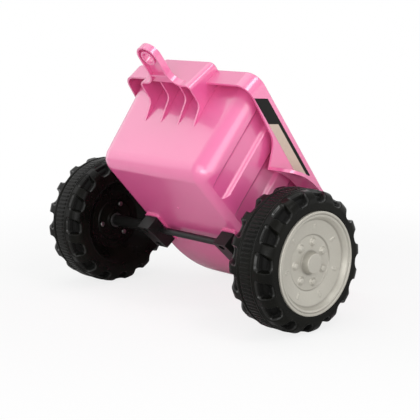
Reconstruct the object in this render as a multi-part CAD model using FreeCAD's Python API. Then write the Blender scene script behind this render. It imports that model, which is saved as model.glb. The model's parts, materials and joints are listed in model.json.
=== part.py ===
import FreeCAD, Part
import math
import os

from FreeCAD import Placement, Rotation, Vector

# A child's tipping trailer on two wheels, tipped back onto the tail of its tub.
# Every piece is modelled with the trailer level: the origin is the middle of the axle,
# +X runs along the axle, the tow tongue points to -Y and +Z is up.
# The last section tips the trailer until its tail meets the floor that the wheels stand on.
# All sizes are in millimetres and all angles in degrees.

# Wheels
WHEEL_R = 95.0
WHEEL_WIDTH = 73.0
WHEEL_GAP = 32.1
WHEEL_WALL = 3.0
SHOULDER_R = 15.0
CROWN_HALF = 11.5
CROWN_DEPTH = 2.5
LUG_COUNT = 16
POCKET_LENGTH = 23.0
POCKET_WIDTH = 24.0
POCKET_DEPTH = 6.0
POCKET_SLANT = 40.0
POCKET_CORNER = 4.0
INNER_LIP = 29.0
WEB_R = 44.0
INNER_WEB_DEPTH = 20.5
OUTER_WEB_DEPTH = 16.5
CAP_RECESS_DEPTH = 6.5
CAP_LEDGE_WIDTH = 12.0
HUB_BOSS_R = 14.0
HUB_BOSS_HEIGHT = 2.0
HUB_TUBE_WALL = 4.0
VENT_R = 2.0
RIGHT_TURN = 9.75
LEFT_TURN = -6.5

# Hub caps
TYRE_HEIGHT = 25.5
CAP_FIT = 0.7
CAP_PROUD = 2.3
CAP_WALL = 2.5
CAP_BEAD_WIDTH = 3.5
CAP_STEP_WIDTH = 5.0
CAP_RIM_WIDTH = 12.5
CAP_DISC_R = 36.5
CAP_SEAT_GAP = 3.0
CAP_BOSS_R = 15.5
CAP_BOSS_HEIGHT = 10.0
STUD_COUNT = 7
STUD_RING_R = 27.5
STUD_COLLAR_R = 5.0
STUD_R = 3.6
STUD_HEIGHT = 3.2

# Axle and what runs on it
AXLE_R = 5.0
RUNNING_CLEARANCE = 0.06
END_PLAY = 0.3
BUSH_R = 8.0
BUSH_LENGTH = 14.0
FLANGE_R = 11.0
FLANGE_THICKNESS = 2.0
SPACER_R = 8.5
WASHER_R = 10.5
WASHER_THICKNESS = 1.2
END_CAP_R = 9.0
END_CAP_GRIP = 6.0
END_CAP_WALL = 1.5

# Axle clamps and their pads under the floor
CLAMP_SIDE_GAP = 17.0
CLAMP_WIDTH = 24.0
CLAMP_FRONT = 23.0
CLAMP_REAR = 28.0
CLAMP_FRONT_DROP = 19.0
CLAMP_REAR_DROP = 10.0
CLAMP_COVER = 1.0
PAD_MARGIN = 3.0
PAD_CORNER = 5.0
SCREW_R = 2.0
SCREW_HEAD_R = 4.0
SCREW_HEAD_HEIGHT = 2.6
SCREW_HOLE_R = 2.25
SCREW_COVER = 1.6
CLAMP_SEAT_DEPTH = 11.0
COUNTERBORE_R = 4.8
CLAMP_SCREW_EDGE = 9.0

# Screws that hold the hub caps
HUB_SCREW_COUNT = 3
HUB_SCREW_RING_R = 26.0
HUB_SCREW_POST_R = 6.0
HUB_SCREW_BITE = 1.5

# Tub
WALL = 3.0
RIM_TOP = 147.0
RIM_HALF = 130.0
RIM_FRONT = 194.0
RIM_REAR = 198.0
RIM_CORNER = 22.0
RIM_REAR_CORNER = 36.0
RIM_EDGE = 3.0
RAKE_LENGTH = 118.0
RAKE_DROP = 31.0
RAKE_ROUND = 60.0
SIDE_OVERHANG = 10.0
FRONT_OVERHANG = 12.0
REAR_OVERHANG = 9.5
SIDE_DRAFT = 9.5
FRONT_DRAFT = 37.5
REAR_DRAFT = 6.7
REAR_WALL_HEIGHT = 68.0
FRONT_FOOT_Z = -5.5
TAIL_RUN = 61.8
TAIL_BREAK_Z = 20.7
TAIL_KNEE_R = 30.0
FRONT_CORNER = 25.0
FLOOR_CORNER = 24.0

# Flutes in the tub's side walls
FLUTE_COUNT = 5
FLUTE_PITCH = 61.0
FLUTE_WIDTH = 35.0
FLUTE_FRONT_GAP = 29.5
FLUTE_DEPTH = 5.0
FLUTE_ROUND = 7.0
FLUTE_LEAN = 15.0
FLUTE_TOP_GAP = 18.0

# Skirt under the rim, and the mudguards
FRONT_SKIRT = 28.0
SIDE_SKIRT = 33.0
REAR_SKIRT = 9.0
EAR_SLOPE = 52.0
EAR_ROUND = 28.0
GUARD_GAP = 17.0
GUARD_REACH = 40.0
GUARD_HALF_ANGLE = 42.0
GUARD_LIP = 4.5
GUARD_CORNER = 24.0

# Tow tongue
NOSE_HALF = 52.5
NOSE_REACH = 14.0
NOSE_DRAFT = 4.0
NOSE_HEIGHT = 56.0
NOSE_CORNER = 9.0
NOSE_LAP = 5.0
TONGUE_HEIGHT = 10.0
TONGUE_HALF = 19.0
TONGUE_FLARE = 18.0
EYE_REACH = 44.5
EYE_HOLE_R = 8.75
EYE_RING_WALL = 3.0
RIB_WALL = 3.0
RIB_X = 18.0
RIB_LIFT = 9.0
RIB_DROP = 27.0
RIB_STAND = 9.0
RIB_ROUND = 12.0
CROSS_RIB_SETBACK = 14.0

# Side stickers
STICKER_THICKNESS = 0.3
STICKER_CORNER_GAP = 0.5
STICKER_SLANT = 17.0
STICKER_LENGTH = 160.0
STICKER_TOP_GAP = 8.5
STICKER_HEIGHT = 19.0
STICKER_TAIL_HEIGHT = 20.0

# Cutting tools reach this far past what they cut
PAST = 20.0

# Places that follow from these sizes
TUB_HALF_TOP = RIM_HALF - SIDE_OVERHANG
TUB_HALF_LOW = TUB_HALF_TOP - SIDE_DRAFT
FRONT_TOP_Y = FRONT_OVERHANG - RIM_FRONT
FRONT_FOOT_Y = FRONT_TOP_Y + FRONT_DRAFT
REAR_TOP_Y = RIM_REAR - REAR_OVERHANG
TAIL_KNEE_Y = REAR_TOP_Y - REAR_DRAFT
TAIL_KNEE_Z = RIM_TOP - REAR_WALL_HEIGHT
TAIL_BREAK_Y = TAIL_KNEE_Y - TAIL_RUN
RAKE_START_Y = RIM_REAR - RAKE_LENGTH
RIM_REAR_Z = RIM_TOP - RAKE_DROP
FLUTE_FIRST_Y = FRONT_FOOT_Y + FLUTE_FRONT_GAP
NOSE_TOP_Y = -RIM_FRONT - NOSE_REACH
NOSE_FOOT_Y = NOSE_TOP_Y - NOSE_DRAFT
NOSE_FOOT_Z = RIM_TOP - NOSE_HEIGHT
RIB_FOOT_Z = NOSE_FOOT_Z - RIB_DROP
EYE_Y = NOSE_FOOT_Y - EYE_REACH
STICKER_FRONT = RIM_FRONT - RIM_CORNER - STICKER_CORNER_GAP
WHEEL_X = RIM_HALF + WHEEL_GAP + WHEEL_WIDTH / 2
SIDEWALL_INNER_R = WHEEL_R - INNER_LIP
CAP_R = WHEEL_R - TYRE_HEIGHT
CAP_DISH_R = CAP_R - CAP_RIM_WIDTH
CLAMP_OUTER_X = TUB_HALF_LOW - CLAMP_SIDE_GAP
CLAMP_INNER_X = CLAMP_OUTER_X - CLAMP_WIDTH
GUARD_R = WHEEL_R + GUARD_GAP
GUARD_SIDE = RIM_HALF + GUARD_REACH
X_AXIS = Vector(1, 0, 0)
Y_AXIS = Vector(0, 1, 0)
Z_AXIS = Vector(0, 0, 1)
ORIGIN = Vector(0, 0, 0)


# Outlines and simple solids

def corner_arc(before, here, after, radius):
    """Start, middle, end and centre of the arc that rounds the corner at here."""
    to_before = (before - here).normalize()
    to_after = (after - here).normalize()
    half_angle = to_before.getAngle(to_after) / 2
    reach = radius / math.tan(half_angle)
    bisector = (to_before + to_after).normalize()
    centre = here + bisector * (radius / math.sin(half_angle))
    return here + to_before * reach, centre - bisector * radius, here + to_after * reach, centre


def rounded_wire(corners):
    """Closed wire through corners, each a point and the radius that rounds it, or 0."""
    points = [point for point, radius in corners]
    starts, ends, arcs = [], [], []
    for i, (here, radius) in enumerate(corners):
        start, end, arc = here, here, None
        if radius > 0:
            before, after = points[i - 1], points[(i + 1) % len(points)]
            start, middle, end, centre = corner_arc(before, here, after, radius)
            arc = Part.Arc(start, middle, end).toShape()
        starts.append(start)
        ends.append(end)
        arcs.append(arc)
    edges = []
    for i, arc in enumerate(arcs):
        if arc is not None:
            edges.append(arc)
        follower = starts[(i + 1) % len(starts)]
        if ends[i].distanceToPoint(follower) > 1e-6:
            edges.append(Part.makeLine(ends[i], follower))
    return Part.Wire(edges)


def side_prism(corners, x_low, x_high):
    """Prism along X over an outline of (y, z, radius) corners."""
    wire = rounded_wire([(Vector(x_low, y, z), radius) for y, z, radius in corners])
    return Part.Face(wire).extrude(X_AXIS * (x_high - x_low))


def plan_prism(corners, z_low, z_high):
    """Prism along Z over an outline of (x, y, radius) corners."""
    wire = rounded_wire([(Vector(x, y, z_low), radius) for x, y, radius in corners])
    return Part.Face(wire).extrude(Z_AXIS * (z_high - z_low))


def turned(profile):
    """Solid turned about the X axis from (x, radius) points."""
    points = [Vector(x, 0, radius) for x, radius in profile]
    face = Part.Face(Part.makePolygon(points + [points[0]]))
    return face.revolve(ORIGIN, X_AXIS, 360)


def rod(radius, x_low, x_high, y=0.0, z=0.0):
    """Round bar along X."""
    return Part.makeCylinder(radius, x_high - x_low, Vector(x_low, y, z), X_AXIS)


def tube(outer_r, inner_r, x_low, x_high):
    """Round tube about the axle."""
    return rod(outer_r, x_low, x_high).cut(rod(inner_r, x_low - 1, x_high + 1))


def ring_spots(count, radius, first=0.0):
    """Evenly spread (y, z) places on a ring about the axle."""
    angles = [math.radians(first + 360 * i / count) for i in range(count)]
    return [(radius * math.cos(angle), radius * math.sin(angle)) for angle in angles]


def mirrored(shape):
    """The same piece on the other side of the trailer."""
    return shape.mirror(ORIGIN, X_AXIS)


def joined(shapes):
    """One solid from overlapping ones."""
    return shapes[0].fuse(shapes[1:]).removeSplitter()


def sharp_edges(shape, wanted):
    """Edges between faces that meet at an angle, of those whose middle is wanted."""
    found = []
    for edge in shape.Edges:
        first, last = edge.ParameterRange
        middle = edge.valueAt((first + last) / 2)
        faces = shape.ancestorsOfType(edge, Part.Face)
        if len(faces) != 2 or not wanted(middle):
            continue
        normals = [face.normalAt(*face.Surface.parameter(middle)) for face in faces]
        if math.degrees(normals[0].getAngle(normals[1])) > 15:
            found.append(edge)
    return found


# The tub's outside and inside

def front_wall_y(z):
    """Place of the front wall's outside at a height."""
    share = (z - FRONT_FOOT_Z) / (RIM_TOP - FRONT_FOOT_Z)
    return FRONT_FOOT_Y + share * (FRONT_TOP_Y - FRONT_FOOT_Y)


def rear_wall_y(z):
    """Place of the rear wall's outside at a height."""
    share = (z - TAIL_KNEE_Z) / (RIM_TOP - TAIL_KNEE_Z)
    return TAIL_KNEE_Y + share * (REAR_TOP_Y - TAIL_KNEE_Y)


def side_wall_x(z):
    """Place of a side wall's outside at a height."""
    return TUB_HALF_LOW + z / RIM_TOP * (TUB_HALF_TOP - TUB_HALF_LOW)


def floor_z(y):
    """Height of the floor's underside in front of the tail."""
    slope = (TAIL_BREAK_Z - FRONT_FOOT_Z) / (TAIL_BREAK_Y - FRONT_FOOT_Y)
    return FRONT_FOOT_Z + slope * (y - FRONT_FOOT_Y)


def tail_points():
    """Corners of the tail's outline: the foot, the break, the knee and the rear wall's top."""
    foot = Vector(0, FRONT_FOOT_Y, FRONT_FOOT_Z)
    bend = Vector(0, TAIL_BREAK_Y, TAIL_BREAK_Z)
    knee = Vector(0, TAIL_KNEE_Y, TAIL_KNEE_Z)
    top = Vector(0, REAR_TOP_Y, RIM_TOP)
    return foot, bend, knee, top


def sweep_radius():
    """Radius of the floor's sweep, as large as the run from the break to the knee allows."""
    foot, bend, knee, top = tail_points()
    knee_start = corner_arc(bend, knee, top, TAIL_KNEE_R)[0]
    run = 0.985 * bend.distanceToPoint(knee_start)
    half_angle = (foot - bend).getAngle(knee - bend) / 2
    return run * math.tan(half_angle)


def tub_block(inset, top):
    """The tub as a full block, drawn in by inset on every wall, with an open height top."""
    corners = [(front_wall_y(top), top, 0), (FRONT_FOOT_Y, FRONT_FOOT_Z, 0)]
    corners += [(TAIL_BREAK_Y, TAIL_BREAK_Z, sweep_radius()), (TAIL_KNEE_Y, TAIL_KNEE_Z, TAIL_KNEE_R)]
    corners += [(rear_wall_y(top), top, 0)]
    low = FRONT_FOOT_Z - PAST
    side = rounded_wire([(Vector(-RIM_HALF, y, z), radius) for y, z, radius in corners])
    if inset > 0:
        side = side.makeOffset2D(-inset)
    block = Part.Face(side).extrude(X_AXIS * (2 * RIM_HALF))
    ceiling = block.BoundBox.ZMax
    half_low = side_wall_x(low) - inset
    half_top = side_wall_x(top + PAST) - inset
    wedge_points = [Vector(-half_low, 0, low), Vector(half_low, 0, low)]
    wedge_points += [Vector(half_top, 0, top + PAST), Vector(-half_top, 0, top + PAST)]
    wedge_face = Part.Face(Part.makePolygon(wedge_points + [wedge_points[0]]))
    reach = RIM_FRONT + RIM_REAR
    wedge_face.translate(Y_AXIS * -reach)
    block = block.common(wedge_face.extrude(Y_AXIS * (2 * reach)))

    def front_upright(spot):
        beside_wall = spot.y < front_wall_y(spot.z) + inset + 2
        return beside_wall and abs(spot.x) > half_low - WALL and spot.z < ceiling - 1

    block = block.makeFillet(FRONT_CORNER - inset, sharp_edges(block, front_upright))
    return block.makeFillet(FLOOR_CORNER - inset, sharp_edges(block, lambda spot: spot.z < ceiling - 1))


def flute_tool(index, inset):
    """Slanted groove along the right side wall, with rounded flanks, for the wall drawn in by inset."""
    low = FRONT_FOOT_Z - PAST
    height = RIM_TOP - FLUTE_TOP_GAP + inset - low
    wall_x = side_wall_x(low) - inset
    skim = 0.2
    lean = math.tan(math.radians(FLUTE_LEAN))
    start = FLUTE_FIRST_Y + index * FLUTE_PITCH - inset / 3 + lean * -low
    end = start + FLUTE_WIDTH + 2 * inset / 3
    bed = wall_x - FLUTE_DEPTH
    lip = wall_x + skim
    outside = wall_x + FLUTE_DEPTH + PAST
    corners = [(lip, start - PAST / 4, 0), (lip, start, FLUTE_ROUND)]
    corners += [(bed, start + FLUTE_DEPTH, FLUTE_ROUND), (bed, end - FLUTE_DEPTH, FLUTE_ROUND)]
    corners += [(lip, end, FLUTE_ROUND), (lip, end + PAST / 4, 0)]
    corners += [(outside, end + PAST / 4, 0), (outside, start - PAST / 4, 0)]
    wire = rounded_wire([(Vector(x, y, low), radius) for x, y, radius in corners])
    draft = (TUB_HALF_TOP - TUB_HALF_LOW) / RIM_TOP
    return Part.Face(wire).extrude(Vector(draft, -lean, 1) * height)


def fluted_block(inset, top):
    """The tub's block with the flutes pressed into both side walls."""
    right = [flute_tool(index, inset) for index in range(FLUTE_COUNT)]
    tools = right + [mirrored(tool) for tool in right]
    return tub_block(inset, top).cut(tools)


def rim_top_z(y):
    """Height of the rim's top, which is level in front and falls toward the tail."""
    return RIM_TOP - RAKE_DROP / RAKE_LENGTH * max(0.0, y - RAKE_START_Y)


def under_rim(drop):
    """Everything below the rim's top, lowered by drop."""
    far = RIM_FRONT + RIM_REAR
    corners = [(-far, -far, 0), (-far, RIM_TOP - drop, 0), (RAKE_START_Y, RIM_TOP - drop, RAKE_ROUND)]
    corners += [(far, rim_top_z(far) - drop, 0), (far, -far, 0)]
    return side_prism(corners, -GUARD_SIDE, GUARD_SIDE)


def rim_block(inset):
    """Full block under the rim's top, drawn in by inset on every side and from above."""
    half = RIM_HALF - inset
    front_corner = RIM_CORNER - inset
    rear_corner = RIM_REAR_CORNER - inset
    corners = [(-half, inset - RIM_FRONT, front_corner), (half, inset - RIM_FRONT, front_corner)]
    corners += [(half, RIM_REAR - inset, rear_corner), (-half, RIM_REAR - inset, rear_corner)]
    return plan_prism(corners, -inset, RIM_TOP + PAST).common(under_rim(inset))


def skirt_keep():
    """Everything above the skirt's lower edge, with the ears and the wheel arches."""
    low_front = RIM_TOP - FRONT_SKIRT
    low_side = RIM_TOP - SIDE_SKIRT
    angle = math.radians(90 - GUARD_HALF_ANGLE)
    tip_y = GUARD_R * math.cos(angle)
    tip_z = GUARD_R * math.sin(angle)
    ear_y = tip_y + (low_side - tip_z) / math.tan(math.radians(EAR_SLOPE))
    far = RIM_FRONT + RIM_REAR
    above = RIM_TOP + PAST
    corners = [(-far, above, 0), (-far, low_front, 0), (-RIM_FRONT + RIM_CORNER, low_front, 0)]
    corners += [(-ear_y, low_side, EAR_ROUND), (-tip_y, tip_z, 0), (tip_y, tip_z, 0)]
    corners += [(ear_y, low_side, EAR_ROUND), (RIM_REAR - RIM_REAR_CORNER, RIM_REAR_Z - REAR_SKIRT, 0)]
    corners += [(far, RIM_REAR_Z - REAR_SKIRT, 0), (far, above, 0)]
    keep = side_prism(corners, -GUARD_SIDE, GUARD_SIDE)
    return keep.cut(rod(GUARD_R, -GUARD_SIDE, GUARD_SIDE))


def rim_cap():
    """The rim's flat top and the skirt that hangs from its edge, still closed over the tub."""
    outer = rim_block(0)
    top_edges = sharp_edges(outer, lambda spot: spot.z > rim_top_z(spot.y) - 1)
    outer = outer.makeFillet(RIM_EDGE, top_edges)
    return outer.cut(rim_block(WALL)).common(skirt_keep())


def guard_plan(inset):
    """Upright block over the right mudguard's plan, drawn in by inset at its ends and its outer edge."""
    start = RIM_HALF - WALL
    side = GUARD_SIDE - inset
    reach = GUARD_R * math.sin(math.radians(GUARD_HALF_ANGLE)) - inset
    corner = GUARD_CORNER - inset
    corners = [(start, -reach, 0), (side, -reach, corner), (side, reach, corner), (start, reach, 0)]
    return plan_prism(corners, 0, 2 * GUARD_R)


def mudguard():
    """Curved plate over the right wheel, with rounded corners and a lip along its free edges."""
    plan = guard_plan(0)
    plate = tube(GUARD_R + WALL, GUARD_R, 0, GUARD_SIDE + PAST).common(plan)
    lip = tube(GUARD_R + GUARD_LIP, GUARD_R, 0, GUARD_SIDE + PAST).common(plan.cut(guard_plan(WALL)))
    return joined([plate, lip])


def pad_face_z(y):
    """Height of the pads' underside, where the clamps are screwed on."""
    return AXLE_R + CLAMP_COVER + floor_z(y) - floor_z(0)


def clamp_pad():
    """Raised seat for the right axle clamp under the floor."""
    x_low = CLAMP_INNER_X - PAD_MARGIN
    x_high = CLAMP_OUTER_X + PAD_MARGIN
    front = -CLAMP_FRONT - PAD_MARGIN
    rear = CLAMP_REAR + PAD_MARGIN
    corners = [(x_low, front, PAD_CORNER), (x_high, front, PAD_CORNER)]
    corners += [(x_high, rear, PAD_CORNER), (x_low, rear, PAD_CORNER)]
    column = plan_prism(corners, -PAST, floor_z(rear) + WALL)
    below = [(front - 1, pad_face_z(front - 1), 0), (rear + 1, pad_face_z(rear + 1), 0)]
    below += [(rear + 1, -2 * PAST, 0), (front - 1, -2 * PAST, 0)]
    above = [(front - 1, floor_z(front - 1) + WALL / 2, 0), (rear + 1, floor_z(rear + 1) + WALL / 2, 0)]
    above += [(rear + 1, floor_z(rear) + PAST, 0), (front - 1, floor_z(rear) + PAST, 0)]
    tools = [side_prism(outline, x_low - 1, x_high + 1) for outline in (below, above)]
    tools.append(rod(SPACER_R + END_PLAY, CLAMP_OUTER_X, x_high + 1))
    return column.cut(tools)


def clamp_screw_spots():
    """The (x, y) places of the right clamp's two screws, in front of the axle and behind it."""
    x = CLAMP_INNER_X + CLAMP_WIDTH / 2
    return [(x, -CLAMP_FRONT + CLAMP_SCREW_EDGE), (x, CLAMP_REAR - CLAMP_SCREW_EDGE)]


def screw_seat_z(y):
    """Height at which a clamp screw's head bears."""
    return pad_face_z(y) - CLAMP_SEAT_DEPTH


def clamp_screw_length():
    """Length of a clamp screw's shank, which ends a cover's thickness below the floor's inside."""
    return CLAMP_SEAT_DEPTH + floor_z(0) + WALL - pad_face_z(0) - SCREW_COVER


def nose_gap():
    """The stretch of rim and skirt that the tow tongue's nose takes the place of."""
    corner = Vector(-NOSE_HALF, -RIM_FRONT - PAST, 0)
    return Part.makeBox(2 * NOSE_HALF, PAST + NOSE_LAP, RIM_TOP + PAST, corner)


def make_tub(cavity, block):
    cap = rim_cap().cut(nose_gap())
    guard = mudguard()
    pad = clamp_pad()
    shell = block.fuse([cap, guard, mirrored(guard), pad, mirrored(pad)]).cut(cavity)
    pilots = []
    for x, y in clamp_screw_spots():
        seat = Vector(x, y, screw_seat_z(y))
        pilot = Part.makeCylinder(SCREW_R, clamp_screw_length(), seat)
        pilots += [pilot, mirrored(pilot)]
    return shell.cut(pilots).removeSplitter()


# Tow tongue

def nose_solid(inset, drop):
    """Block of the nose in front of the rim, drawn in by inset and lengthened down by drop."""
    half = NOSE_HALF - inset
    slope = (NOSE_FOOT_Y - NOSE_TOP_Y) / (RIM_TOP - NOSE_FOOT_Z)
    top = RIM_TOP - inset
    low = NOSE_FOOT_Z - drop
    top_y = NOSE_TOP_Y + inset + slope * inset
    low_y = NOSE_FOOT_Y + inset + slope * drop
    block = side_prism([(top_y, top, 0), (low_y, low, 0), (0, low, 0), (0, top, 0)], -half, half)

    def front_upright(spot):
        return spot.y < NOSE_TOP_Y + inset + 1 and abs(spot.x) > half - 1 and spot.z < top - 1

    def top_edge(spot):
        return spot.z > top - 0.5 and spot.y < -1

    block = block.makeFillet(NOSE_CORNER - inset, sharp_edges(block, front_upright))
    if inset > 0:
        return block
    return block.makeFillet(RIM_EDGE, sharp_edges(block, top_edge))


def tongue_solid(inset, drop):
    """Block of the tongue in plan: a straight neck with a round end that flares into the nose."""
    half = TONGUE_HALF - inset
    flare = TONGUE_FLARE + inset
    base = NOSE_FOOT_Y + inset
    back = base + NOSE_CORNER
    top = NOSE_FOOT_Z + TONGUE_HEIGHT - inset
    low = NOSE_FOOT_Z - drop
    corners = [(half + flare, back, 0), (half + flare, base, 0)]
    corners += [(half, base, flare), (half, EYE_Y - half, half)]
    left = [(-x, y, radius) for x, y, radius in reversed(corners)]
    return plan_prism(corners + left, low, top)


def nose_front_y(z):
    """Place of the nose's front face at a height."""
    share = (z - NOSE_FOOT_Z) / (RIM_TOP - NOSE_FOOT_Z)
    return NOSE_FOOT_Y + share * (NOSE_TOP_Y - NOSE_FOOT_Y)


def long_rib(x):
    """Upright rib through the nose, which runs out down the tub's front wall."""
    low = NOSE_FOOT_Z + RIB_LIFT
    high = RIM_TOP - WALL / 2
    corners = [(nose_front_y(low) + WALL / 2, low, 0), (nose_front_y(high) + WALL / 2, high, 0)]
    corners += [(0, high, 0), (0, RIB_FOOT_Z, 0), (front_wall_y(RIB_FOOT_Z), RIB_FOOT_Z, 0)]
    corners += [(front_wall_y(low) - RIB_STAND, low, RIB_ROUND)]
    return side_prism(corners, x - RIB_WALL / 2, x + RIB_WALL / 2)


def wall_rib(x_low):
    """Foot of the nose's side wall, which runs out down the tub's front wall."""
    bend = front_wall_y(NOSE_FOOT_Z) - RIB_STAND
    inside = NOSE_FOOT_Z + WALL
    corners = [(bend - RIB_ROUND, inside, 0), (0, inside, 0), (0, RIB_FOOT_Z, 0)]
    corners += [(front_wall_y(RIB_FOOT_Z), RIB_FOOT_Z, 0), (bend, NOSE_FOOT_Z, RIB_ROUND)]
    corners += [(bend - RIB_ROUND, NOSE_FOOT_Z, 0)]
    return side_prism(corners, x_low, x_low + WALL)


def make_tow_tongue(block):
    hollows = [nose_solid(WALL, PAST), tongue_solid(WALL, PAST)]
    shell = nose_solid(0, 0).fuse(tongue_solid(0, 0)).cut(hollows)
    roof = NOSE_FOOT_Z + TONGUE_HEIGHT
    cross_corner = Vector(-TONGUE_HALF + WALL / 2, NOSE_FOOT_Y - CROSS_RIB_SETBACK, NOSE_FOOT_Z + 1)
    cross_rib = Part.makeBox(2 * TONGUE_HALF - WALL, RIB_WALL, TONGUE_HEIGHT - 1 - WALL / 2, cross_corner)
    ribs = [long_rib(RIB_X), long_rib(-RIB_X), cross_rib]
    ribs += [wall_rib(NOSE_HALF - WALL), wall_rib(-NOSE_HALF)]
    eye = Vector(0, EYE_Y, NOSE_FOOT_Z)
    ring = Part.makeCylinder(EYE_HOLE_R + EYE_RING_WALL, roof - NOSE_FOOT_Z - WALL / 2, eye)
    hole = Part.makeCylinder(EYE_HOLE_R, TONGUE_HEIGHT + 2, eye - Z_AXIS)
    body = shell.fuse(ribs + [ring]).cut(hole)
    return body.cut([block, rim_cap().cut(nose_gap())]).removeSplitter()


# Side stickers

def make_sticker():
    """Thin label on the right side of the skirt, below the rim."""
    top = RIM_TOP - STICKER_TOP_GAP
    low = top - STICKER_HEIGHT
    end = -STICKER_FRONT + STICKER_LENGTH
    corners = [(-STICKER_FRONT, low, 0), (-STICKER_FRONT + STICKER_SLANT, top, 0), (end, top, 0)]
    corners += [(end - STICKER_SLANT, top - STICKER_TAIL_HEIGHT, 0)]
    corners += [(-STICKER_FRONT + 3 * STICKER_SLANT, low, 0)]
    return side_prism(corners, RIM_HALF, RIM_HALF + STICKER_THICKNESS).cut(mudguard())


# Axle, clamps and what holds the wheels on, all for the right side

INNER_FACE = WHEEL_X - WHEEL_WIDTH / 2
OUTER_FACE = WHEEL_X + WHEEL_WIDTH / 2
INNER_WEB = INNER_FACE + INNER_WEB_DEPTH
OUTER_WEB = OUTER_FACE - OUTER_WEB_DEPTH
INNER_BOSS = INNER_WEB - HUB_BOSS_HEIGHT
CAP_LEDGE = OUTER_FACE - CAP_RECESS_DEPTH
CAP_BACK = OUTER_WEB + CAP_SEAT_GAP
CAP_DISC = CAP_BACK + CAP_WALL
CAP_TOP = OUTER_FACE + CAP_PROUD
WASHER_X = OUTER_WEB + FLANGE_THICKNESS + END_PLAY
END_CAP_X = WASHER_X + WASHER_THICKNESS
AXLE_END = END_CAP_X + END_CAP_GRIP


def make_axle_rod():
    return rod(AXLE_R, -AXLE_END, AXLE_END)


def make_clamp():
    """Block under the pad with a groove that the axle lies in and two sunk screw holes."""
    front, rear = -CLAMP_FRONT, CLAMP_REAR
    corners = [(front, pad_face_z(front), 0), (rear, pad_face_z(rear), 0)]
    corners += [(rear, -CLAMP_REAR_DROP, 0), (front + 1, -CLAMP_FRONT_DROP, 0)]
    block = side_prism(corners, CLAMP_INNER_X, CLAMP_OUTER_X)
    groove_r = AXLE_R + RUNNING_CLEARANCE
    slot_corner = Vector(CLAMP_INNER_X - 1, -groove_r, 0)
    tools = [rod(groove_r, CLAMP_INNER_X - 1, CLAMP_OUTER_X + 1)]
    tools += [Part.makeBox(CLAMP_WIDTH + 2, 2 * groove_r, PAST, slot_corner)]
    for x, y in clamp_screw_spots():
        seat = Vector(x, y, screw_seat_z(y))
        tools += [Part.makeCylinder(SCREW_HOLE_R, PAST, seat - Z_AXIS)]
        tools += [Part.makeCylinder(COUNTERBORE_R, PAST, seat, -Z_AXIS)]
    return block.cut(tools)


def pan_screw(seat, direction, length):
    """Screw with a domed head below its seat and a plain shank above."""
    shank = Part.makeCylinder(SCREW_R, length, seat, direction)
    head = Part.makeCylinder(SCREW_HEAD_R, SCREW_HEAD_HEIGHT, seat, -direction)
    circles = [edge for edge in head.Edges if len(edge.Vertexes) == 1]
    far_rim = [edge for edge in circles if edge.CenterOfMass.distanceToPoint(seat) > SCREW_HEAD_HEIGHT / 2]
    head = head.makeFillet(SCREW_HEAD_HEIGHT / 2, far_rim)
    return shank.fuse(head).removeSplitter()


def make_clamp_screws():
    screws = []
    for x, y in clamp_screw_spots():
        screw = pan_screw(Vector(x, y, screw_seat_z(y)), Z_AXIS, clamp_screw_length())
        screws += [screw, mirrored(screw)]
    return Part.makeCompound(screws)


def make_spacer():
    far_end = INNER_BOSS - FLANGE_THICKNESS - END_PLAY
    return tube(SPACER_R, AXLE_R + RUNNING_CLEARANCE, CLAMP_OUTER_X, far_end)


def make_bush(face, outward):
    """Flanged bush pushed into the wheel's bore, with its flange on the outside of face."""
    inside = face - outward * BUSH_LENGTH
    outside = face + outward * FLANGE_THICKNESS
    sleeve = rod(BUSH_R, min(inside, face), max(inside, face))
    flange = rod(FLANGE_R, min(face, outside), max(face, outside))
    bore = rod(AXLE_R + RUNNING_CLEARANCE, INNER_FACE, OUTER_FACE)
    return sleeve.fuse(flange).cut(bore).removeSplitter()


def make_washer():
    return tube(WASHER_R, AXLE_R + RUNNING_CLEARANCE, WASHER_X, END_CAP_X)


def make_end_cap():
    """Domed cap pushed onto the axle's end."""
    dome = rod(END_CAP_R, END_CAP_X, AXLE_END + END_CAP_WALL)
    far_rim = [edge for edge in dome.Edges if edge.BoundBox.XMin > AXLE_END]
    dome = dome.makeFillet(END_CAP_GRIP / 2, far_rim)
    return dome.cut(rod(AXLE_R, END_CAP_X - 1, AXLE_END))


# Wheel, hub cap and the screws between them, for the right side

def tyre_profile():
    """Outline of half the tyre's section turned about the axle, without its pockets."""
    half = WHEEL_WIDTH / 2
    bore = BUSH_R
    seat_r = CAP_R + CAP_FIT
    step_r = seat_r - CAP_LEDGE_WIDTH
    corners = [(INNER_BOSS, bore, 0), (INNER_BOSS, HUB_BOSS_R, 0), (INNER_WEB, HUB_BOSS_R, 0)]
    corners += [(INNER_WEB, WEB_R, 0), (INNER_FACE, SIDEWALL_INNER_R, 0)]
    corners += [(WHEEL_X - half, WHEEL_R, SHOULDER_R), (WHEEL_X - CROWN_HALF, WHEEL_R, 0)]
    crown_r = WHEEL_R - CROWN_DEPTH
    corners += [(WHEEL_X - CROWN_HALF, crown_r, 0), (WHEEL_X + CROWN_HALF, crown_r, 0)]
    corners += [(WHEEL_X + CROWN_HALF, WHEEL_R, 0), (WHEEL_X + half, WHEEL_R, SHOULDER_R)]
    corners += [(OUTER_FACE, seat_r, 0), (CAP_LEDGE, seat_r, 0), (CAP_LEDGE, step_r, 0)]
    corners += [(OUTER_WEB, step_r, 0), (OUTER_WEB, bore, 0)]
    return rounded_wire([(Vector(x, 0, r), radius) for x, r, radius in corners])


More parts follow.
